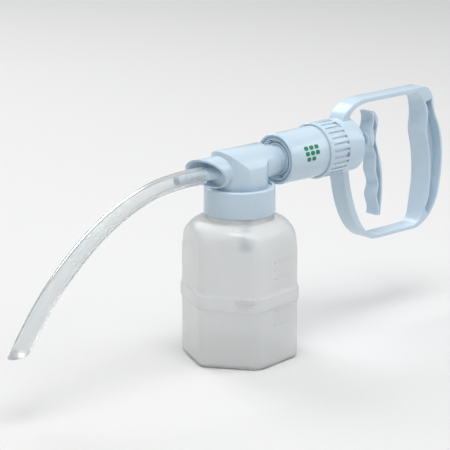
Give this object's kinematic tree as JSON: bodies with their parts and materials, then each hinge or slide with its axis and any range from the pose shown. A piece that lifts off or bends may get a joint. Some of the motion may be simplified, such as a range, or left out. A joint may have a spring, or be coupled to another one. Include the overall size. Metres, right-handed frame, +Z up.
{
  "type": "hand-held suction pump",
  "caption": "Hand-operated suction pump: trigger and D-handle drive a piston that draws through a clear tube into a screw-on translucent jar.",
  "frame": {"origin": "centre of the collection jar's flat base", "axes": "+Z up, +X along the pump's axis from the suction tube towards the hand grip"},
  "size_m": [0.4401, 0.0844, 0.1804],
  "materials": {
    "shell_plastic": "glossy moulded, pale icy blue-white",
    "jar_plastic": "translucent milky, smooth",
    "inner_plastic": "smooth moulded",
    "float_plastic": "smooth",
    "seal_rubber": "satin, pale grey silicone",
    "rod_metal": "polished",
    "spring_steel": "drawn wire",
    "clear_tube": "clear flexible, glossy"
  },
  "bodies": {
    "handle": {"handle_frame": "shell_plastic", "barrel": "shell_plastic", "barrel_gasket": "seal_rubber", "exhaust_cover": "shell_plastic", "valve_plate": "inner_plastic", "intake_keeper": "inner_plastic", "rod_guide": "inner_plastic"},
    "lock_ring": {"lock_ring": "shell_plastic"},
    "plunger": {"piston_head": "inner_plastic", "piston_cup": "seal_rubber", "piston_washer": "rod_metal", "piston_screw": "rod_metal", "piston_rod": "rod_metal", "return_spring": "spring_steel", "trigger": "shell_plastic", "trigger_pin": "rod_metal"},
    "intake_disc": {"intake_valve": "seal_rubber"},
    "exhaust_disc": {"exhaust_valve": "seal_rubber"},
    "head": {"head_body": "shell_plastic", "spigot_o_ring": "seal_rubber", "jar_cap": "shell_plastic", "float_cage": "inner_plastic", "suction_tube": "clear_tube"},
    "float": {"float_ball": "float_plastic"},
    "gasket": {"cap_gasket": "seal_rubber"},
    "jar": {"collection_jar": "jar_plastic"}
  },
  "joints": [
    {"name": "plunger_slide", "type": "slide", "parent": "handle", "child": "plunger", "axis": [1, 0, 0], "range_m": [0, 0.036], "stiffness_N_per_m": 250, "springref_m": -0.02, "deforming": ["return_spring"]},
    {"name": "lock_ring_turn", "type": "hinge", "parent": "handle", "child": "lock_ring", "pos_m": [0.087, 0, 0.1457], "axis": [1, 0, 0], "range_deg": [0, 60]},
    {"name": "intake_lift", "type": "slide", "parent": "handle", "child": "intake_disc", "axis": [1, 0, 0], "range_m": [0, 0.0012], "stiffness_N_per_m": 20, "springref_m": -0.0005},
    {"name": "exhaust_lift", "type": "slide", "parent": "handle", "child": "exhaust_disc", "axis": [-1, 0, 0], "range_m": [0, 0.0005], "stiffness_N_per_m": 20, "springref_m": -0.0005},
    {"name": "head_swivel", "type": "hinge", "parent": "handle", "child": "head", "pos_m": [0.04, 0, 0.1457], "axis": [1, 0, 0], "range_deg": [-90, 90]},
    {"name": "float_lift", "type": "slide", "parent": "head", "child": "float", "axis": [0, 0, 1], "range_m": [0, 0.0023]},
    {"name": "jar_drop", "type": "slide", "parent": "head", "child": "gasket", "axis": [0, 0, -1], "range_m": [0, 0.018]},
    {"name": "jar_turn", "type": "hinge", "parent": "gasket", "child": "jar", "pos_m": [0, 0, 0.11], "axis": [0, 0, -1], "range_deg": [0, 1080]}
  ],
  "couplings": [
    {"joint": "jar_drop", "follows": "jar_turn", "m_per_rad": 0.00095493}
  ]
}
